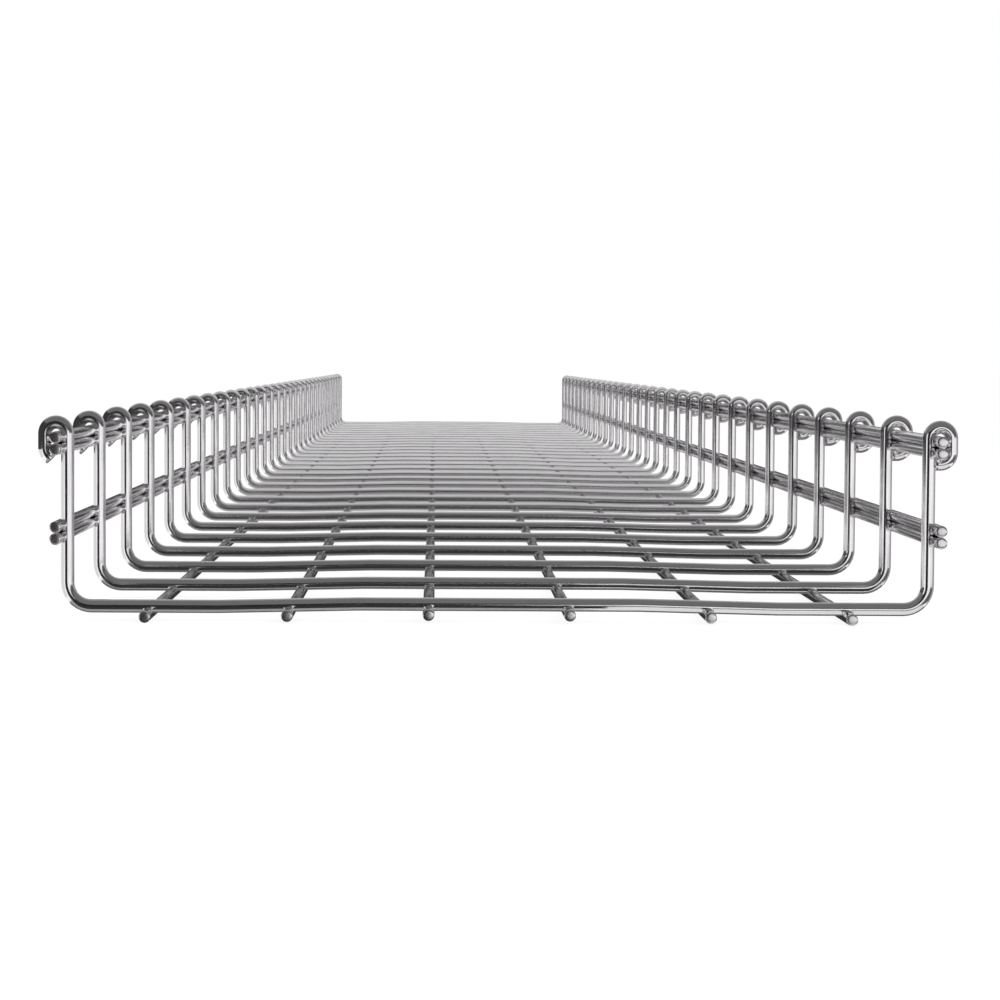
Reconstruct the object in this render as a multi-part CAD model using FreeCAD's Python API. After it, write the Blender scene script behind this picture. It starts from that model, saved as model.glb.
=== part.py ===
import FreeCAD, Part
import math
import os

from FreeCAD import Vector

# Wire mesh cable tray, in millimetres.
# X runs across the tray, Y along it and Z up. The origin is on the floor, under the middle.
# Every wire is drawn with eight flats, so that two wires that cross meet flat on flat.

# Driving dimensions of the wires and of their welds
cross_wire_diameter = 4.8
long_wire_diameter = 4.2
weld_set_down = 1.6

# Driving dimensions of the tray
tray_length = 3000.0
inner_width = 302.0
wall_height = 65.3
cross_wire_count = 31
end_overhang = 12.0
floor_wire_count = 6
floor_wire_spacing = 50.0
floor_rise = 1.1
mid_rail_height = 26.5

# Driving dimensions of the bends, as radii of the wire's centre line
corner_radius = 8.5
hook_radius = 4.0
hook_headroom = 0.1
hook_footroom = 0.1
right_tip_gap = 0.3
left_tip_length = 1.8

# How many small turns a bend is drawn with
corner_turns = 4
crown_turns = 6
right_return_turns = 2
left_return_turns = 1
return_turn = math.radians(45.0)

# Values that follow from the wires and their welds
cross_radius = cross_wire_diameter / 2
long_radius = long_wire_diameter / 2
cross_flat = cross_radius - weld_set_down / 2
long_flat = long_radius - weld_set_down / 2
long_corner = math.sqrt(2) * long_radius - long_flat
weld_pitch = cross_flat + long_flat

# Values that follow from the tray
floor_wire_z = long_radius
cross_wire_z = floor_wire_z + weld_pitch
wall_x = inner_width / 2 + cross_radius
rail_x = wall_x + weld_pitch
mid_rail_z = cross_wire_z + mid_rail_height
cross_wire_pitch = (tray_length - 2 * end_overhang) / (cross_wire_count - 1)

# Values that follow from the hooks: their inner side curves in just above the corner of the upper rail
hook_inner_radius = hook_radius - cross_flat
crown_step = math.pi / crown_turns
crown_centre_z = cross_wire_z + wall_height - hook_radius
top_rail_z = crown_centre_z + hook_inner_radius * math.tan(crown_step / 2) - long_corner - hook_headroom
low_top_rail_z = top_rail_z - long_wire_diameter
return_centre_z = low_top_rail_z - long_radius - hook_footroom + hook_inner_radius

# The outward directions of a wire's flats, as angles about its run
ABOVE = 90.0
LEFT = 180.0
RIGHT = 0.0


def wire_section(radius, weld_flat, weld_side, tilt=0.0):
    """Corners (u, v) of an eight-sided wire whose flat on the weld side is nearer to its middle than the others."""
    flats = [(angle, weld_flat if angle == weld_side else radius) for angle in range(0, 360, 45)]
    corners = []
    for (angle_a, reach_a), (angle_b, reach_b) in zip(flats, flats[1:] + flats[:1]):
        a = math.radians(angle_a) + tilt
        b = math.radians(angle_b) + tilt
        turn = math.sin(b - a)
        u = (reach_a * math.sin(b) - reach_b * math.sin(a)) / turn
        v = (reach_b * math.cos(a) - reach_a * math.cos(b)) / turn
        corners.append((u, v))
    return corners


def long_wire(x, z, weld_side, tilt=0.0):
    """A straight wire that runs the whole length of the tray."""
    section = wire_section(long_radius, long_flat, weld_side, tilt)
    corners = [Vector(x + u, -tray_length / 2, z + v) for u, v in section]
    outline = Part.makePolygon(corners + corners[:1])
    return Part.Face(outline).extrude(Vector(0, tray_length, 0))


class Run:
    """A bent wire's centre line in the tray's cross section, drawn as a pen that moves and turns."""

    def __init__(self, x, z, heading):
        self.x = x
        self.z = z
        self.heading = heading
        self.points = [(x, z)]

    def advance(self, length):
        self.x += length * math.cos(self.heading)
        self.z += length * math.sin(self.heading)

    def mark(self):
        self.points.append((self.x, self.z))

    def go_to(self, x, z):
        self.x = x
        self.z = z
        self.mark()

    def bend(self, radius, angle, turns):
        """Follow an arc as short runs that touch it from outside. A positive angle turns to the left."""
        step = angle / turns
        tangent = radius * math.tan(abs(step) / 2)
        for _ in range(turns):
            self.advance(tangent)
            self.mark()
            self.heading += step
            self.advance(tangent)


def half_cross_wire(return_turns, tip_length):
    """From the raised middle of the floor up one wall, out over the top rails and back in below them."""
    run = Run(0, cross_wire_z + floor_rise, 0)
    run.go_to(floor_wire_spacing, cross_wire_z + floor_rise)
    run.go_to(2 * floor_wire_spacing, cross_wire_z)
    run.advance(wall_x - corner_radius - 2 * floor_wire_spacing)
    run.bend(corner_radius, math.pi / 2, corner_turns)
    run.advance(crown_centre_z - cross_wire_z - corner_radius)
    run.bend(hook_radius, -math.pi, crown_turns)
    run.advance(crown_centre_z - return_centre_z)
    run.bend(hook_radius, -return_turns * return_turn, return_turns)
    run.advance(tip_length)
    run.mark()
    return run.points[1:]


def cross_wire_path():
    """The whole bent wire from its left tip to its right tip."""
    right_tip_length = hook_inner_radius - right_tip_gap
    right = half_cross_wire(right_return_turns, right_tip_length)
    left = half_cross_wire(left_return_turns, left_tip_length)
    return [(-x, z) for x, z in reversed(left)] + right


def cross_wire(y):
    """Sweep the wire's section along the bent path, with a mitre at every small turn."""
    points = [Vector(x, y, z) for x, z in cross_wire_path()]
    along = (points[1] - points[0]).normalize()
    outward = Vector(0, 1, 0).cross(along)
    section = wire_section(cross_radius, cross_flat, RIGHT)
    corners = [points[0] + outward * u + Vector(0, v, 0) for u, v in section]
    outline = Part.makePolygon(corners + corners[:1])
    return Part.makePolygon(points).makePipeShell([outline], True, False, 1)


def save(shape, name):
    shape.exportStep("parts/" + name + ".step")


def save_cross_wires():
    """Like bent wires at one pitch, from the front end of the tray to its back end."""
    first = cross_wire(0)
    for index in range(cross_wire_count):
        y = -tray_length / 2 + end_overhang + index * cross_wire_pitch
        save(first.translated(Vector(0, y, 0)), f"cross_wire_{index + 1:02d}")


def floor_wire(x):
    """A straight wire under the floor. Where the floor slopes, the wire's section is tilted with it."""
    slope_left = 2 * floor_wire_spacing - abs(x)
    rise = floor_rise * min(max(slope_left / floor_wire_spacing, 0), 1)
    tilt = 0.0
    if 0 < slope_left < floor_wire_spacing:
        tilt = -math.copysign(math.atan2(floor_rise, floor_wire_spacing), x)
    centre_x = x + weld_pitch * math.sin(tilt)
    centre_z = cross_wire_z + rise - weld_pitch * math.cos(tilt)
    return long_wire(centre_x, centre_z, ABOVE, tilt)


def save_floor_wires():
    """Straight wires side by side under the floor. The tray rests on the outermost two."""
    for index in range(floor_wire_count):
        x = (index - (floor_wire_count - 1) / 2) * floor_wire_spacing
        save(floor_wire(x), f"floor_wire_{index + 1}")


def save_rails():
    """Pairs of straight wires, one on top of the other, outside each wall and inside its hooks."""
    for side, x, wall_flat in (("left", -rail_x, RIGHT), ("right", rail_x, LEFT)):
        save(long_wire(x, mid_rail_z + long_radius, wall_flat), side + "_middle_rail_upper")
        save(long_wire(x, mid_rail_z - long_radius, wall_flat), side + "_middle_rail_lower")
        save(long_wire(x, top_rail_z, wall_flat), side + "_top_rail_upper")
        save(long_wire(x, low_top_rail_z, wall_flat), side + "_top_rail_lower")


os.makedirs("parts", exist_ok=True)
save_cross_wires()
save_floor_wires()
save_rails()
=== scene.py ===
# %% [markdown]
# # A wire mesh cable tray
#
# The tray is a trough of round steel wire. Bent cross wires carry the cables, straight wires tie them
# together, and every crossing is a weld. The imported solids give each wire's place, with eight flats to a
# wire. This lesson draws the same wires round, adds the weld metal and the cut ends, and polishes them.

# %% Load the frame
import math

import bpy
import numpy as np
from mathutils import Matrix, Vector


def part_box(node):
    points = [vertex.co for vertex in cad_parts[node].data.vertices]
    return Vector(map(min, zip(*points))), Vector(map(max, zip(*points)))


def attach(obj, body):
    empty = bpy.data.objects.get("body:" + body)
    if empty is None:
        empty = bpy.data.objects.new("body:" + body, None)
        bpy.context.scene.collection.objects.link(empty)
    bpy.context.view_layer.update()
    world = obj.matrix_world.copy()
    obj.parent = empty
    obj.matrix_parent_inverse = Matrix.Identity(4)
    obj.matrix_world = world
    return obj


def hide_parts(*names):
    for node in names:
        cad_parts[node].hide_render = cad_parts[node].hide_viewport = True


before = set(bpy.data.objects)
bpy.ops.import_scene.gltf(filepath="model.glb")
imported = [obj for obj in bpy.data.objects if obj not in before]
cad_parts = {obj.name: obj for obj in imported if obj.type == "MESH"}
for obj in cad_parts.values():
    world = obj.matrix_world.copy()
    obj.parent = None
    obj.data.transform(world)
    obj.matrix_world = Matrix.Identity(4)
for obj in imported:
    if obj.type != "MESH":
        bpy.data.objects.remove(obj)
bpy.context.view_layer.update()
print("solid nodes:", len(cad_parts))

# %% [markdown]
# ## Sizes of the bends
#
# The radii of the bends, the two tips of a hook, the depth of a weld and where the raised part of the floor
# slopes down can't be read from a solid's box. They could be measured on the edges of the solids, but a
# maker sets them as plain sizes, so they are named here in metres.

# %% Name the sizes of the bends
CORNER_RADIUS = 0.0085
HOOK_RADIUS = 0.0040
HOOK_FOOTROOM = 0.0001
LEFT_RETURN = math.radians(45)
RIGHT_RETURN = math.radians(90)
LEFT_TIP = 0.0018
RIGHT_TIP_GAP = 0.0003
WELD_SET_DOWN = 0.0016
RAISED_TO = 0.050
SLOPED_TO = 0.100
print("bends at the floor and at the hook:", CORNER_RADIUS * 1000, "and", HOOK_RADIUS * 1000, "mm")

# %% [markdown]
# ## Sizes from the frame
#
# The solids' boxes give the wires' thickness and every height and distance across the tray. The same
# numbers could be written again, but sizes that are read from the boxes follow the solids when they change.

# %% Read the sizes
def centre_of(node):
    """Centre line of a straight wire, taken from the two faces of it that no weld has flattened."""
    low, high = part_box(node)
    if node.startswith("floor"):
        return (low.x + high.x) / 2, low.z + LONG_RADIUS
    rail_x = low.x + LONG_RADIUS if node.startswith("left") else high.x - LONG_RADIUS
    return rail_x, (low.z + high.z) / 2


first_low, first_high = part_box("cross_wire_01")
rail_low, rail_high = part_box("right_middle_rail_upper")
CROSS_RADIUS = (first_high.y - first_low.y) / 2
LONG_RADIUS = (rail_high.z - rail_low.z) / 2
CROSS_FLAT = CROSS_RADIUS - WELD_SET_DOWN / 2
LONG_FLAT = LONG_RADIUS - WELD_SET_DOWN / 2
HALF_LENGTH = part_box("floor_wire_1")[1].y
HOOK_TOP = first_high.z
CROSS_NODES = sorted(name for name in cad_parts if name.startswith("cross_wire"))
FLOOR_NODES = sorted(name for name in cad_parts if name.startswith("floor_wire"))
RAIL_NODES = sorted(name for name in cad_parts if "_rail_" in name)
WALL_X = first_high.x - CROSS_RADIUS - 2 * HOOK_RADIUS
CROSS_Z = centre_of("floor_wire_1")[1] + LONG_FLAT + CROSS_FLAT
FLOOR_RISE = centre_of("floor_wire_3")[1] - centre_of("floor_wire_1")[1]
CROWN_Z = HOOK_TOP - CROSS_RADIUS - HOOK_RADIUS
RETURN_Z = centre_of("right_top_rail_lower")[1] - LONG_RADIUS - HOOK_FOOTROOM + HOOK_RADIUS - CROSS_FLAT
CROSS_Y = np.array([sum(corner.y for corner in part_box(name)) / 2 for name in CROSS_NODES])
LONG_NODES = FLOOR_NODES + RAIL_NODES
LONG_CENTRES = [centre_of(name) for name in LONG_NODES]
for label, value in (("cross wire radius", CROSS_RADIUS), ("straight wire radius", LONG_RADIUS),
                     ("wall", WALL_X), ("floor level", CROSS_Z), ("floor rise", FLOOR_RISE),
                     ("hook top", HOOK_TOP)):
    print(label, round(value * 1000, 2), "mm")

# %% [markdown]
# ## A wire is a circle carried along a path
#
# A bent wire is drawn by sliding a circle along its centre line. Blender has curves with a bevel for
# this. Working the rings out as arrays gives the same shape and also says, at each point, how far along
# and how far round the wire it is, which the finish needs for its drawing marks. First the path needs
# its own directions, one along it and two across it, so that a ring can stand square to it.

# %% Directions along a path
LENGTHWISE = 0.9
Y_AXIS = [[0.0, 1.0, 0.0]]
Z_AXIS = [[0.0, 0.0, 1.0]]


def tangents(points):
    """Unit direction of the path at each point, from the difference of its neighbours."""
    step = np.gradient(points, axis=0)
    return step / np.linalg.norm(step, axis=1, keepdims=True)


def frames_along(points):
    """Unit vectors across the path at each point: normal = Y x tangent, and aside = tangent x normal.

    A straight wire runs along Y itself, so for it the first product is taken with Z.
    """
    tangent = tangents(points)
    straight = np.abs(tangent[:, 1]) > LENGTHWISE
    normal = np.cross(np.where(straight[:, None], Z_AXIS, Y_AXIS), tangent)
    normal /= np.linalg.norm(normal, axis=1, keepdims=True)
    return normal, np.cross(tangent, normal)


level_run = np.array([[0.0, 0.0, 0.0], [1.0, 0.0, 0.0]])
print("across a run to the right:", [axis[0].tolist() for axis in frames_along(level_run)])

# %% [markdown]
# ## Cropped ends
#
# A wire is cropped by shears, which leave a nearly flat end with a rounded edge. A Bevel modifier could
# round the edge of a plain cap. A few rings that close in along a profile do the same at every end and
# let the finish know where the cut is.

# %% Close in the ends of a path
# The cut's profile, from the full wire to the middle of the cut, in shares of the wire's radius
CUT_DEPTH = np.array([0.00, 0.05, 0.10, 0.135, 0.16, 0.175])
CUT_RADIUS = np.array([1.00, 0.985, 0.94, 0.86, 0.66, 0.35])


def with_cut_ends(points, radius):
    """Shorten both ends by the cut's depth, then add rings whose radius falls off along its profile."""
    tangent = tangents(points)
    depth = CUT_DEPTH * radius
    inner_start = points[0] + tangent[0] * depth[-1]
    inner_end = points[-1] - tangent[-1] * depth[-1]
    start = inner_start - np.outer(depth, tangent[0])
    end = inner_end + np.outer(depth, tangent[-1])
    path = np.vstack([start[::-1], points[1:-1], end])
    ring_radius = radius * np.concatenate([CUT_RADIUS[::-1], np.ones(len(points) - 2), CUT_RADIUS])
    return path, ring_radius


print("rings in each cut end:", len(CUT_DEPTH))

# %% [markdown]
# ## Rings and faces
#
# The rings of a wire are one array of points, and its faces are numbers worked out from the count of rings
# and sides. Extruding a circle step by step would build the same tube, but slowly for 45 wires. Each point
# also gets two fields for the finish: its place in a straightened wire, and whether it is on a cut.

# %% Carry a circle along a path
SIDES = 20
COIL_STEP = 3.7
CUT_BEGINS = 0.97


def tube(points, radius, wire_number):
    """Vertices centre + radius * (cos a * normal + sin a * aside), and fields for the run and the cut ends.

    The run is (radius * cos a, radius * sin a, length so far). Each wire takes it up further along the same
    coil, so that no two wires show the same marks.
    """
    path, ring_radius = with_cut_ends(points, radius)
    normal, aside = frames_along(path)
    angle = np.linspace(0, 2 * np.pi, SIDES, endpoint=False)
    round_x = np.cos(angle)[None, :, None] * normal[:, None, :]
    round_y = np.sin(angle)[None, :, None] * aside[:, None, :]
    vertices = path[:, None, :] + ring_radius[:, None, None] * (round_x + round_y)
    along = np.concatenate([[0], np.cumsum(np.linalg.norm(np.diff(path, axis=0), axis=1))])
    run = np.zeros(vertices.shape)
    run[..., 0] = ring_radius[:, None] * np.cos(angle)
    run[..., 1] = ring_radius[:, None] * np.sin(angle)
    run[..., 2] = along[:, None] + COIL_STEP * wire_number
    cut = np.repeat(ring_radius < CUT_BEGINS * radius, SIDES).astype(float)
    return vertices.reshape(-1, 3), run.reshape(-1, 3), cut


def tube_faces(rings, sides, copies=1):
    """Quads from ring to ring and a cap on each end, facing outward: indices plus the copy's first point."""
    ring, side = np.meshgrid(np.arange(rings - 1), np.arange(sides), indexing="ij")
    here = ring * sides + side
    beside = ring * sides + (side + 1) % sides
    quads = np.stack([here, beside, beside + sides, here + sides], axis=-1).reshape(-1, 4)
    caps = np.stack([np.arange(sides)[::-1], np.arange(sides) + (rings - 1) * sides])
    first = np.arange(copies)[:, None, None] * rings * sides
    return (quads + first).reshape(-1, 4).tolist() + (caps + first).reshape(-1, sides).tolist()


print("a tube of 2 rings has", len(tube_faces(2, SIDES)), "faces")

# %% [markdown]
# ## From arrays to a piece
#
# Every piece of the tray is made in the same way: a smooth mesh with its fields, at the origin, with its
# place in its points. It says which solids it stands for and hides them without deleting them, so that the
# round ones are seen. It says which solids it stands for, so that the imported wires stay in the checks
# while the round ones are seen.

# %% Make a piece
def make_piece(name, vertices, faces, finish, nodes=(), fields=()):
    """A smooth mesh object at the origin that rides on the tray and stands for its solid nodes."""
    mesh = bpy.data.meshes.new(name)
    mesh.from_pydata(vertices.tolist(), [], faces)
    for field, values in fields:
        kind = "FLOAT_VECTOR" if values.ndim == 2 else "FLOAT"
        key = "vector" if values.ndim == 2 else "value"
        mesh.attributes.new(field, kind, "POINT").data.foreach_set(key, values.astype(np.float32).ravel())
    mesh.shade_smooth()
    mesh.materials.append(finish)
    piece = bpy.data.objects.new(name, mesh)
    bpy.context.scene.collection.objects.link(piece)
    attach(piece, "root")
    if nodes:
        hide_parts(*nodes)
    return piece


print("wires to draw:", len(CROSS_NODES) + len(LONG_NODES))

# %% [markdown]
# ## Writing a finish as sums
#
# A finish is easier to read as an expression than as a picture of boxes and links. `Field` wraps one
# output of a shader node, and adding or multiplying fields adds the Math nodes that do it.

# %% Shader helpers
class Field:
    """A number that varies over the surface. Arithmetic on it adds Math nodes to its finish."""

    def __init__(self, finish, socket):
        self.finish = finish
        self.socket = socket

    def combine(self, operation, first, second):
        node = self.finish.node("ShaderNodeMath", {"operation": operation}, {0: first, 1: second})
        return Field(self.finish, node.outputs[0])

    def __add__(self, other):
        return self.combine("ADD", self, other)

    def __mul__(self, other):
        return self.combine("MULTIPLY", self, other)

    __radd__ = __add__
    __rmul__ = __mul__


class Finish:
    """One material, built node by node."""

    def __init__(self, name):
        self.material = bpy.data.materials.new(name)
        self.material.use_nodes = True
        self.tree = self.material.node_tree
        self.shader = self.tree.nodes["Principled BSDF"]

    def set(self, node, socket, value):
        target = node.inputs[socket]
        if isinstance(value, Field):
            self.tree.links.new(value.socket, target)
        else:
            target.default_value = value

    def node(self, kind, settings, sockets):
        """Add a node, first its settings, then the values or links of its sockets."""
        node = self.tree.nodes.new(kind)
        for key, value in settings.items():
            setattr(node, key, value)
        for socket, value in sockets.items():
            self.set(node, socket, value)
        return node

    def output(self, node, socket):
        return Field(self, node.outputs[socket])

    def attribute(self, name, output):
        """A field that a mesh carries at its points."""
        return self.output(self.node("ShaderNodeAttribute", {"attribute_name": name}, {}), output)

    def place(self):
        """The place on the object in metres."""
        return self.output(self.node("ShaderNodeTexCoord", {}, {}), "Object")

    def noise(self, place, scale, detail):
        """Smooth random values from 0 to 1, so many to the metre, with finer ones added for more detail."""
        node = self.node("ShaderNodeTexNoise", {}, {"Vector": place, "Scale": scale, "Detail": detail})
        return self.output(node, "Fac")

    def rise(self, field, low, high):
        """0 where the field is below low, 1 where it is above high, and an even slope between."""
        node = self.node("ShaderNodeMapRange", {}, {"Value": field, "From Min": low, "From Max": high})
        return self.output(node, "Result")

    def mix_colour(self, factor, first, second):
        """The first colour where the factor is 0, the second where it is 1."""
        node = self.node("ShaderNodeMix", {"data_type": "RGBA"}, {"Factor": factor, 6: first, 7: second})
        return self.output(node, 2)

    def stretched(self, place, stretch):
        """A place scaled along each axis, which draws a pattern out along the axis scaled least."""
        node = self.node("ShaderNodeVectorMath", {"operation": "MULTIPLY"}, {0: place, 1: stretch})
        return self.output(node, 0)


print("shader helpers ready")

# %% [markdown]
# ## Bright drawn wire
#
# The wire is drawn through a die, bent, welded and then polished until it mirrors the room. Up close it
# still carries fine lines along its length from the die, a slight waviness that makes a reflection
# wander, and darker, less even metal where the heat of a weld has been. An image wrapped round the wire
# could show this too, but noise that is stretched along the wire needs no picture and never repeats. The
# lines follow the wire round its bends, so they read the `run` field that the tube made and not the place
# in the room.

# %% Finish of the wire
STEEL = (0.945, 0.925, 0.945, 1)
HEATED_STEEL = (0.52, 0.51, 0.50, 1)
POLISHED_ROUGHNESS = 0.08
DIE_LINES_PER_METRE = 2600.0
DIE_LINE_STRETCH = (1.0, 1.0, 0.03)
WAVES_PER_METRE = 260.0
WAVE_STRETCH = (1.0, 1.0, 0.35)
PATCHES_PER_METRE = 55.0


def bright_wire():
    """Mirror-like steel, changed by its die lines, by the heat of the welds, in dull patches and at cuts."""
    finish = Finish("bright_drawn_wire")
    run = finish.attribute("run", "Vector")
    heat = finish.attribute("heat", "Fac")
    cut = finish.attribute("cut", "Fac")
    die_lines = finish.noise(finish.stretched(run, DIE_LINE_STRETCH), DIE_LINES_PER_METRE, 3.0)
    waviness = finish.noise(finish.stretched(run, WAVE_STRETCH), WAVES_PER_METRE, 1.0)
    dull = finish.rise(finish.noise(finish.place(), PATCHES_PER_METRE, 3.0), 0.42, 0.68)
    roughness = POLISHED_ROUGHNESS + die_lines * 0.06 + dull * 0.06 + heat * 0.12 + cut * 0.12
    finish.set(finish.shader, "Metallic", 1.0)
    finish.set(finish.shader, "Roughness", roughness)
    colour = finish.mix_colour(heat * 0.7 + dull * 0.12, STEEL, HEATED_STEEL)
    finish.set(finish.shader, "Base Color", colour)
    bump = finish.node("ShaderNodeBump", {}, {"Strength": 0.25, "Distance": 0.0002,
                                              "Height": die_lines * 0.06 + waviness * 0.7})
    finish.set(finish.shader, "Normal", finish.output(bump, "Normal"))
    return finish.material


WIRE_FINISH = bright_wire()
print("finish:", WIRE_FINISH.name)

# %% [markdown]
# ## Bent cross wires
#
# Each cross wire is one length of wire: floor, two round corners, two walls, and at each top a hook that
# curls outward over the two top rails and comes back in below them. On the right the wire turns all the
# way in under the rails, on the left it stops half way. A curve with handles could be drawn by eye, but a
# maker bends the wire round pins of known size, so the centre line is made of straight runs and arcs that
# touch.

# %% Centre line of a cross wire
FLOOR_RINGS = 29
CORNER_RINGS = 10
CROWN_RINGS = 17
RETURN_RINGS = 9


def arc(centre, radius, start, end, rings):
    """Points centre + radius * (cos a, sin a) for angles from start to end."""
    angle = np.linspace(start, end, rings)
    return np.stack([centre[0] + radius * np.cos(angle), centre[1] + radius * np.sin(angle)], axis=1)


def half_path(return_angle, tip):
    """Floor, corner, wall, crown and return of one side, as (x, z) with x outward."""
    across = np.linspace(0, WALL_X - CORNER_RADIUS, FLOOR_RINGS, endpoint=False)
    raised = CROSS_Z + FLOOR_RISE * np.interp(across, [RAISED_TO, SLOPED_TO], [1, 0])
    floor = np.stack([across, raised], axis=1)
    corner_centre = (WALL_X - CORNER_RADIUS, CROSS_Z + CORNER_RADIUS)
    corner = arc(corner_centre, CORNER_RADIUS, -np.pi / 2, 0, CORNER_RINGS)
    crown = arc((WALL_X + HOOK_RADIUS, CROWN_Z), HOOK_RADIUS, np.pi, 0, CROWN_RINGS)
    back = arc((WALL_X + HOOK_RADIUS, RETURN_Z), HOOK_RADIUS, 0, -return_angle, RETURN_RINGS)
    inward = np.array([-math.sin(return_angle), -math.cos(return_angle)])
    last = back[-1] + tip * inward
    return np.vstack([floor, corner, crown, back, last])


def cross_path():
    """The whole centre line, left tip to right tip, as (x, z)."""
    right_tip = HOOK_RADIUS - CROSS_FLAT - RIGHT_TIP_GAP
    right = half_path(RIGHT_RETURN, right_tip)
    left = half_path(LEFT_RETURN, LEFT_TIP) * [-1, 1]
    return np.vstack([left[:0:-1], right])


print("rings along a cross wire, without its cuts:", len(cross_path()))

# %% [markdown]
# ## Heat round the welds
#
# A weld darkens the wire for a few millimetres. Paint or a mask picture could show that, but every wire
# would need its own. Here the distance from each point of the mesh to the nearest weld is worked out and
# kept with the point as its heat.

# %% Add the cross wires
HEAT_REACH = 0.0050
HEAT_AT_WELD = 1.15


def weld_heat(distance):
    """A little over 1 at a weld, less the distance from it over the heat's reach, kept between 0 and 1."""
    return np.clip(HEAT_AT_WELD - distance / HEAT_REACH, 0, 1)


def add_wire(node, number, points, radius, distance_to_weld):
    """One round wire that stands for its node. The distance to the nearest weld gives its heat."""
    vertices, run, cut = tube(points, radius, number)
    heat = weld_heat(distance_to_weld(vertices))
    faces = tube_faces(len(vertices) // SIDES, SIDES)
    fields = [("run", run), ("heat", heat), ("cut", cut)]
    make_piece("round_" + node, vertices, faces, WIRE_FINISH, [node], fields)


def add_cross_wires():
    """One bent wire for each cross wire node, at that node's place along the tray."""
    path = cross_path()
    for number, (node, y) in enumerate(zip(CROSS_NODES, CROSS_Y)):
        points = np.stack([path[:, 0], np.full(len(path), y), path[:, 1]], axis=1)
        welds = np.array([(x, y, z) for x, z in LONG_CENTRES])
        add_wire(node, number, points, CROSS_RADIUS,
                 lambda vertices: np.linalg.norm(vertices[:, None] - welds, axis=2).min(axis=1))
    length = np.linalg.norm(np.diff(path, axis=0), axis=1).sum()
    print("cross wires:", len(CROSS_NODES), "of", round(length * 1000), "mm each")


add_cross_wires()

# %% [markdown]
# ## Straight wires
#
# The floor wires, the middle rails and the top rails are cut from straightened wire. Two rings would be
# enough for the shape of such a wire, but the finish changes near each weld and a field is kept only at
# points, so the rings stand close there and far apart between.

# %% Add the straight wires
BESIDE_WELD = np.array([-0.008, -0.005, -0.003, 0, 0.003, 0.005, 0.008])


def add_long_wires():
    """One straight wire for each other node. Its rings stand at and beside every crossing."""
    stations = (CROSS_Y[:, None] + BESIDE_WELD).ravel()
    stations = np.concatenate([[-HALF_LENGTH], stations, [HALF_LENGTH]])
    for number, (node, (x, z)) in enumerate(zip(LONG_NODES, LONG_CENTRES), start=len(CROSS_NODES)):
        points = np.stack([np.full(len(stations), x), stations, np.full(len(stations), z)], axis=1)
        add_wire(node, number, points, LONG_RADIUS,
                 lambda vertices: np.abs(vertices[:, 1, None] - CROSS_Y).min(axis=1))
    print("straight wires:", len(LONG_NODES), "of", round(2000 * HALF_LENGTH), "mm each")


add_long_wires()

# %% [markdown]
# ## Weld metal
#
# Where two wires cross, current melts them together and a little metal is squeezed out into the corner
# between them. It sets as a small uneven collar. Modelled one by one, over four hundred of them would
# make the scene heavy, so each is a sphere of about forty faces, pressed flat along the line between the
# two wires and swollen unevenly by two slow waves. All the welds of one kind are worked out together and
# joined into one mesh.

# %% Shape of the welds
WELD_RINGS = 5
WELD_SIDES = 10
WELD_PHASE = 1.7
SECOND_PHASE = 2.3
TWO_LOBES = 0.08
THREE_LOBES = 0.06
WELD_SPREAD = 0.0019
WELD_LENGTH = 0.0021
WELD_THICKNESS = 0.0008


def weld_blobs(centres, axes, spread):
    """Pressed spheres: (cos l * cos t * swell, cos l * sin t * swell, sin l) times the spread, at a centre.

    The swell is 1 plus small sines of twice and three times the turn t. The axes say which of the room's
    axes each of the three numbers runs along.
    """
    lift = np.linspace(-np.pi / 2, np.pi / 2, WELD_RINGS + 2)[1:-1, None]
    turn = np.linspace(0, 2 * np.pi, WELD_SIDES, endpoint=False)
    phase = WELD_PHASE * np.arange(len(centres))[:, None, None]
    two_lobes = TWO_LOBES * np.sin(2 * turn + phase)
    three_lobes = THREE_LOBES * np.sin(3 * turn + SECOND_PHASE * phase)
    swell = 1 + two_lobes + three_lobes
    shape = (len(centres), WELD_RINGS, WELD_SIDES)
    blobs = np.zeros(shape + (3,))
    blobs[..., axes[0]] = np.cos(lift) * np.cos(turn) * swell
    blobs[..., axes[1]] = np.cos(lift) * np.sin(turn) * swell
    blobs[..., axes[2]] = np.broadcast_to(np.sin(lift), shape)
    return (blobs * spread + centres[:, None, None]).reshape(-1, 3)


print("faces to a weld:", len(tube_faces(WELD_RINGS, WELD_SIDES)))

# %% [markdown]
# ## Metal that has melted and set
#
# Weld metal isn't drawn through a die. It sets with a fine grain, blackened in places and bright in
# others. One noise gives the grain, and what is rough, burnt and uneven all follows from it, so that the
# three change together as they do on the real thing.

# %% Finish of the welds
SET_STEEL = (0.80, 0.79, 0.79, 1)
BURNT_STEEL = (0.24, 0.23, 0.225, 1)
GRAINS_PER_METRE = 900.0


def weld_metal():
    """Steel that has melted and set: grained, burnt dark in places and bright in others."""
    finish = Finish("weld_metal")
    grain = finish.noise(finish.place(), GRAINS_PER_METRE, 3.0)
    finish.set(finish.shader, "Metallic", 1.0)
    finish.set(finish.shader, "Roughness", 0.10 + grain * 0.18)
    burnt = finish.rise(grain, 0.35, 0.75)
    finish.set(finish.shader, "Base Color", finish.mix_colour(burnt, SET_STEEL, BURNT_STEEL))
    bump = finish.node("ShaderNodeBump", {}, {"Strength": 0.5, "Distance": 0.0003, "Height": grain})
    finish.set(finish.shader, "Normal", finish.output(bump, "Normal"))
    return finish.material


WELD_FINISH = weld_metal()
print("finish:", WELD_FINISH.name)

# %% [markdown]
# ## A weld at every crossing
#
# A floor wire's welds sit on top of it and a rail's welds on the side toward the wall, at the flat that
# the weld pressed. Copies could be placed by hand or by an Array modifier. The places are already known
# from the wires, so one array holds them all.

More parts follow.
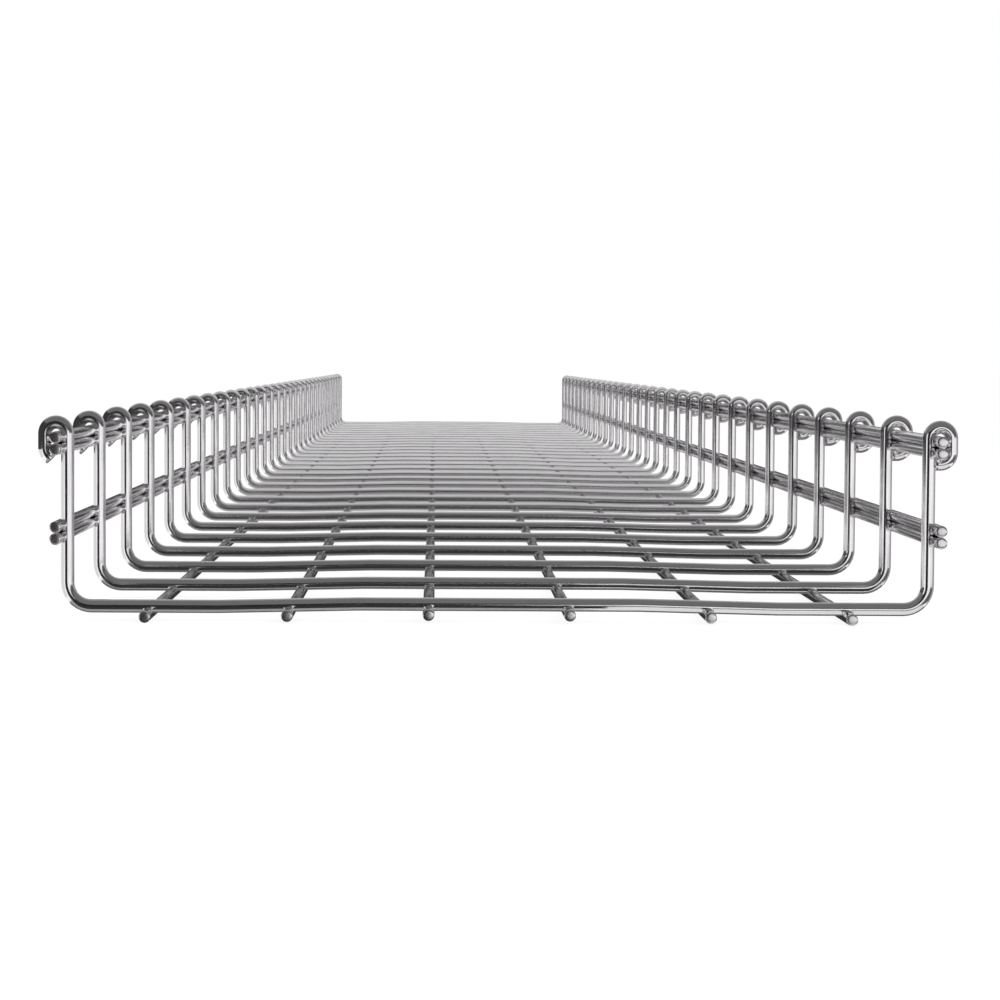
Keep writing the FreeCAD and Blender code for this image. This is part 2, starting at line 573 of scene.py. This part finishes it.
# %% Add the welds
FLOOR_CENTRES = LONG_CENTRES[:len(FLOOR_NODES)]
RAIL_CENTRES = LONG_CENTRES[len(FLOOR_NODES):]


def add_welds(name, centres, axes, spread):
    """The weld metal of every crossing of one kind, joined into one piece."""
    vertices = weld_blobs(centres, axes, spread)
    faces = tube_faces(WELD_RINGS, WELD_SIDES, len(centres))
    make_piece(name, vertices, faces, WELD_FINISH)
    print(name, len(centres), "welds,", len(faces) // len(centres), "faces each")


floor_welds = np.array([(x, y, z + LONG_FLAT) for x, z in FLOOR_CENTRES for y in CROSS_Y])
rail_welds = np.array([(x - math.copysign(LONG_FLAT, x), y, z) for x, z in RAIL_CENTRES for y in CROSS_Y])
add_welds("floor_welds", floor_welds, (0, 1, 2), (WELD_SPREAD, WELD_LENGTH, WELD_THICKNESS))
add_welds("rail_welds", rail_welds, (1, 2, 0), (WELD_THICKNESS, WELD_LENGTH, WELD_SPREAD))

# %% [markdown]
# ## Floor
#
# The tray stands on a plain white floor. A photographer lights such a floor until it turns white, which
# would wash out the wire as well. Here the floor's own material does it: a camera ray sees it almost
# white by itself, and a small part of what it sees is the floor as it is lit, so that a faint shadow is
# left under the wires. Reflections pass through the floor to the cards below it, because polished wire on
# a white floor would otherwise lose its dark lines.

# %% Add the floor
FLOOR_HALF = 30.0
FLOOR_WHITE = 0.98
WHITE_BY_ITSELF = 0.88


def sheet_of(name, corners, finish, faces=((0, 1, 2, 3),)):
    """Flat faces that belong to the room and not to the tray."""
    mesh = bpy.data.meshes.new(name)
    mesh.from_pydata(corners, [], faces)
    mesh.materials.append(finish)
    sheet = bpy.data.objects.new(name, mesh)
    bpy.context.scene.collection.objects.link(sheet)
    return sheet


def white_floor():
    """A matt floor that a camera ray sees nearly white, with a part of the shadow left in it."""
    finish = Finish("white_floor")
    finish.set(finish.shader, "Base Color", (FLOOR_WHITE, FLOOR_WHITE, FLOOR_WHITE, 1))
    finish.set(finish.shader, "Roughness", 0.9)
    finish.set(finish.shader, "Specular IOR Level", 0.0)
    white = finish.node("ShaderNodeEmission", {}, {"Color": (1, 1, 1, 1), "Strength": 1.0})
    camera = finish.output(finish.node("ShaderNodeLightPath", {}, {}), "Is Camera Ray")
    blend = finish.node("ShaderNodeMixShader", {}, {0: camera * WHITE_BY_ITSELF})
    finish.tree.links.new(finish.shader.outputs[0], blend.inputs[1])
    finish.tree.links.new(white.outputs[0], blend.inputs[2])
    finish.tree.links.new(blend.outputs[0], finish.tree.nodes["Material Output"].inputs["Surface"])
    return finish.material


FLOOR_CORNERS = [(-FLOOR_HALF, -FLOOR_HALF, 0), (FLOOR_HALF, -FLOOR_HALF, 0),
                 (FLOOR_HALF, FLOOR_HALF, 0), (-FLOOR_HALF, FLOOR_HALF, 0)]
floor = sheet_of("white_floor", FLOOR_CORNERS, white_floor())
floor.visible_glossy = False
print("floor:", round(2 * FLOOR_HALF), "m square")

# %% [markdown]
# ## Cards for the reflections
#
# Polished wire has no colour of its own: it shows the room, and the dark and light bands that make it
# look round are the room's dark and light parts. A photograph of a room wrapped round the scene would
# give some bands. Cards give the right ones, because each can be hung where the wires look for it. Only
# reflections see the cards, so they neither show in the picture nor shade the floor, and what is left
# between them is the white of the room.

# %% Cards that only reflections see
DEEP = -3.0
CEILING = 2.0
UNDER = -0.3


def glow(name, grey):
    """An even card of one brightness, made with Emission so that no lamp changes it."""
    finish = Finish(name)
    finish.set(finish.shader, "Base Color", (0, 0, 0, 1))
    finish.set(finish.shader, "Specular IOR Level", 0.0)
    finish.set(finish.shader, "Emission Color", (grey, grey, grey, 1))
    finish.set(finish.shader, "Emission Strength", 1.0)
    return finish.material


def card(name, corners, grey, faces=((0, 1, 2, 3),)):
    """One or more flat faces of one brightness, hidden from every ray that isn't a reflection."""
    sheet = sheet_of(name, corners, glow(name, grey), faces)
    sheet.visible_camera = False
    sheet.visible_diffuse = False
    sheet.visible_shadow = False
    sheet.visible_transmission = False
    print(name, "grey", grey)


def level_card(name, across, along, height, grey):
    """A card that lies level between two values of x and two of y."""
    (x0, x1), (y0, y1) = across, along
    card(name, [(x0, y0, height), (x1, y0, height), (x1, y1, height), (x0, y1, height)], grey)


def end_card(name, across, up, y, grey):
    """A card that stands across the tray's length, between two values of x and two heights."""
    (x0, x1), (z0, z1) = across, up
    card(name, [(x0, y, z0), (x1, y, z0), (x1, y, z1), (x0, y, z1)], grey)


def side_card(name, along, up, x, grey):
    """A card that stands beside the tray, between two values of y and two heights."""
    (y0, y1), (z0, z1) = along, up
    card(name, [(x, y0, z0), (x, y1, z0), (x, y1, z1), (x, y0, z1)], grey)


print("cards hang between", DEEP, "and", CEILING, "m")

# %% [markdown]
# ## Above, below and beyond
#
# A level wire seen from the front shows the ceiling on its upper half and what lies below the tray on its
# lower half. A straight wire seen along its length shows what stands beyond the far end. One card each for
# the ceiling, the ground and the far end would be simpler. They are cut in parts of their own greys,
# because the bands on the wires aren't the same all over the tray in the picture.

# %% Cards beyond the far end, above and below
FAR = 7.0
ROOM_WIDTH = (-5.0, 5.0)
UNDER_FRONT_END = (-2.2, -1.45)
end_card("far_left_card", (-2.8, -0.75), (DEEP, CEILING), FAR, 0.13)
end_card("far_right_card", (-0.74, 2.8), (DEEP, CEILING), FAR, 0.050)
level_card("back_ceiling_card", ROOM_WIDTH, (-0.8, 6.99), CEILING, 0.27)
level_card("front_ceiling_card", ROOM_WIDTH, (-6.6, -0.81), CEILING, 0.15)
level_card("front_under_card", (-0.5, 0.05), UNDER_FRONT_END, UNDER, 0.33)
level_card("right_under_card", (0.06, 0.5), UNDER_FRONT_END, UNDER, 0.75)
level_card("back_under_card", (-0.5, 0.5), (-1.44, -1.11), UNDER, 0.12)

# %% [markdown]
# ## Lighter with distance
#
# In the picture the tray grows paler toward its far end. A mist in the air would do that only for this
# camera, and the model itself has no air. Strips above the tray and below it that get lighter with
# distance give the far wires more to reflect. They stay under full white, so that the far half still
# stands out from the floor when it is seen from above.

# %% Strips above and below the far part
ABOVE_TRAY = 0.5
# For each pair of strips: where it starts and ends along the tray, and the greys above and below
FADE = ((-1.10, -0.91, 0.30, 0.14), (-0.90, -0.51, 0.47, 0.35), (-0.50, -0.11, 0.57, 0.48),
        (-0.10, 0.39, 0.63, 0.60), (0.40, 0.89, 0.66, 0.68), (0.90, 1.70, 0.66, 0.70))
for number, (start, end, above, below) in enumerate(FADE):
    level_card(f"far_light_{number + 1}", (-0.6, 0.6), (start, end), ABOVE_TRAY, above)
    level_card(f"under_card_{number + 1}", (-0.5, 0.5), (start, end), UNDER, below)
print("strips above and below:", 2 * len(FADE))

# %% [markdown]
# ## Cards round the sides
#
# An upright wire shows the room at eye level all round, from the camera's side to the sides of the tray.
# The cards in front stand on a circle round the tray's front end, each between two bearings. The dark one
# on the left of the camera is the broad dark band of the upright wires. Those on the right are dark above
# and below and light between, at the height of the tray. The light ones are the shine on the cut ends, on
# the rails and beside the dark band. A large lamp could give that shine, but it would light the floor too.
# The hooks on the left stand before a dark card, as they do in the picture, and those on the right before
# a lighter one.

# %% Cards to the left, in front and to the right
CIRCLE = 5.0
LEFT = -4.95
LEFT_HOOKS = -0.22
TOP = 1.98


def around(bearing):
    """A point on the circle round the front end: its radius times (sine, cosine), from the camera's side."""
    angle = math.radians(bearing)
    return CIRCLE * math.sin(angle), -HALF_LENGTH - CIRCLE * math.cos(angle)


def upright_card(name, bearings, up, grey):
    """A card that stands between two bearings, measured to the right, and between two heights."""
    start, end = around(bearings[0]), around(bearings[1])
    low, high = up
    card(name, [(*start, low), (*end, low), (*end, high), (*start, high)], grey)


side_card("left_low_card", (-4.7, 3.0), (DEEP, 0.08), LEFT, 0.75)
side_card("left_high_card", (-4.7, 6.9), (0.09, 1.99), LEFT, 0.08)
side_card("left_hook_card", (-1.7, -0.3), (0.054, 0.12), LEFT_HOOKS, 0.04)
upright_card("front_left_card", (-39, 3), (DEEP, TOP), 0.022)
upright_card("front_right_deep_card", (3.1, 40), (DEEP, -0.91), 0.10)
upright_card("front_right_low_card", (3.1, 40), (-0.90, 0.60), 0.95)
upright_card("front_right_high_card", (3.1, 40), (0.61, TOP), 0.09)
upright_card("right_front_deep_card", (40.1, 95), (DEEP, -0.51), 0.10)
upright_card("right_front_low_card", (40.1, 75), (-0.50, 0.30), 0.95)
upright_card("right_side_low_card", (75.1, 95), (-0.50, 0.30), 0.60)
upright_card("right_front_high_card", (40.1, 95), (0.31, TOP), 0.09)
upright_card("right_card", (96, 160), (DEEP, TOP), 0.33)

# %% [markdown]
# ## Slats of painted shadow just under the floor
#
# The lower edge of each floor wire is dark in the picture, because it reflects the shadow that the wire
# casts on the ground just in front of it. A dark floor would give that edge, but it would darken the
# picture's background. A thin dark upright slat before each cross wire, just below the floor, is painted
# shadow in that shadow's place, seen by that edge alone. The slats too get lighter with distance.

# %% Hang the slats of painted shadow
SLAT_BEFORE_WIRE = 0.020
SLAT_LEFT = -0.165
SLAT_RIGHT = 0.165
SLAT_TOP = -0.001
SLAT_FOOT = -0.040
FIRST_SLAT_RIGHT = 0.040
FIRST_SLAT_FOOT = -0.024


def shadow_slats(name, wires, grey, right=SLAT_RIGHT, foot=SLAT_FOOT):
    """One slat before each of a row of cross wires: rectangles of constant y between two x and two z."""
    y = CROSS_Y[wires, None] - SLAT_BEFORE_WIRE
    x = np.array([SLAT_LEFT, right, right, SLAT_LEFT])
    z = np.array([foot, foot, SLAT_TOP, SLAT_TOP])
    corners = np.stack(np.broadcast_arrays(x, y, z), axis=-1).reshape(-1, 3)
    faces = np.arange(len(corners)).reshape(-1, 4)
    card(name, corners.tolist(), grey, faces.tolist())
    print("slats in it:", len(faces))


# Each slat is painted shadow: a dark sheet for the shadow that a cross wire casts on the ground before it
shadow_slats("first_slat", slice(0, 1), 0.035, FIRST_SLAT_RIGHT, FIRST_SLAT_FOOT)
shadow_slats("near_slats", slice(1, 6), 0.035)
shadow_slats("middle_slats", slice(6, 9), 0.08)
shadow_slats("far_slats", slice(9, 13), 0.24)
shadow_slats("last_slats", slice(13, None), 0.50)

# %% [markdown]
# ## Light
#
# Two soft lamps and an even white room light the floor. A single strong lamp would leave hard shadows,
# which the picture doesn't have. Reflections don't see the lamps, so nothing here burns out the wire.

# %% Light the room
def area_lamp(name, place, target, width, depth, watts):
    """A soft lamp of a width and a depth in metres that looks at its target."""
    data = bpy.data.lights.new(name, "AREA")
    data.shape = "RECTANGLE"
    data.size = width
    data.size_y = depth
    data.energy = watts
    lamp = bpy.data.objects.new(name, data)
    bpy.context.scene.collection.objects.link(lamp)
    lamp.location = place
    lamp.visible_glossy = False
    lamp.rotation_euler = (Vector(target) - Vector(place)).to_track_quat("-Z", "Y").to_euler()
    print(name, watts, "W")


area_lamp("key_lamp", place=(2.2, -2.2, 1.5), target=(0, -0.8, 0), width=0.8, depth=1.6, watts=45)
area_lamp("fill_lamp", place=(-2.4, -0.5, 1.4), target=(0, 0, 0), width=0.7, depth=2.2, watts=25)

world = bpy.data.worlds.new("white_room")
bpy.context.scene.world = world
world.use_nodes = True
backdrop = world.node_tree.nodes["Background"]
backdrop.inputs["Color"].default_value = (1, 1, 1, 1)
backdrop.inputs["Strength"].default_value = 1.0

# %% [markdown]
# ## Camera
#
# The picture was taken with a long lens, a little more than a metre in front of the first cross wire and
# just above the hooks, so the walls stay nearly upright and the last wires shrink to about a quarter. The
# camera stands a little left of the middle and looks down by about three degrees. Its place and its turns
# could be found by trial. They come from a fit to the places of the wires in the picture, so they are
# given here as numbers, in metres and radians.

# %% Place the camera
CAMERA_X = -0.02305
CAMERA_BEFORE_FIRST_WIRE = 1.0415
CAMERA_ABOVE_CROSS_WIRES = 0.0883
TURN_RIGHT = 0.02234
LOOK_DOWN = 0.04779
ROLL = -0.00646
FOCAL_PIXELS = 2927.0
PICTURE_PIXELS = 1000.0


def camera_axes():
    """Right, up and forward of a camera that is turned, tipped and then rolled."""
    level = math.cos(LOOK_DOWN)
    forward = Vector((math.sin(TURN_RIGHT) * level, math.cos(TURN_RIGHT) * level, -math.sin(LOOK_DOWN)))
    right = Vector((math.cos(TURN_RIGHT), -math.sin(TURN_RIGHT), 0))
    up = right.cross(forward)
    rolled_right = right * math.cos(ROLL) - up * math.sin(ROLL)
    rolled_up = right * math.sin(ROLL) + up * math.cos(ROLL)
    return rolled_right, rolled_up, forward


camera_data = bpy.data.cameras.new("camera")
camera_data.sensor_width = 36.0
camera_data.lens = FOCAL_PIXELS / PICTURE_PIXELS * camera_data.sensor_width
camera_data.clip_start = 0.05
camera_data.clip_end = 100
camera = bpy.data.objects.new("camera", camera_data)
bpy.context.scene.collection.objects.link(camera)
right, up, forward = camera_axes()
turn = Matrix((right, up, -forward)).transposed()
camera.matrix_world = Matrix.Translation((CAMERA_X, CROSS_Y[0] - CAMERA_BEFORE_FIRST_WIRE,
                                          CROSS_Z + CAMERA_ABOVE_CROSS_WIRES)) @ turn.to_4x4()
bpy.context.scene.camera = camera
bpy.context.scene.view_settings.view_transform = "Standard"
print("camera at", [round(value, 3) for value in camera.location])
